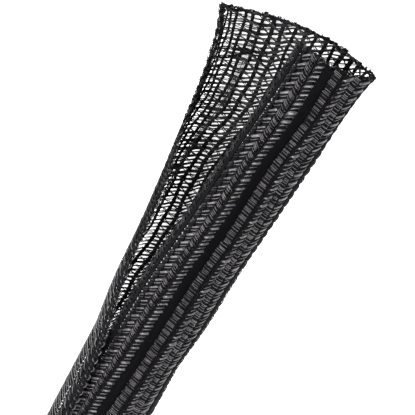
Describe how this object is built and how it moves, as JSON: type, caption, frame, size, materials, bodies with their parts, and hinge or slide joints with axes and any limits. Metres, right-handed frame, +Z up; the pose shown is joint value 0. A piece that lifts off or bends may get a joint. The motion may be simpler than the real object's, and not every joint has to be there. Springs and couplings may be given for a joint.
{
  "type": "braided cable sleeve",
  "caption": "Split, self-closing tube of woven polyester that wraps round a bundle of cables, with its mouth held open at one end.",
  "frame": {"origin": "under the middle of the length, on the plane that the sleeve lies on", "axes": "+X along the sleeve, towards its opened mouth; +Z up, on the side of the split"},
  "size_m": [0.3048, 0.0217, 0.0125],
  "materials": {
    "black_polyester": "glossy black monofilament woven over matte black ribs"
  },
  "bodies": {
    "root": {"sleeve": "black_polyester"}
  },
  "joints": []
}
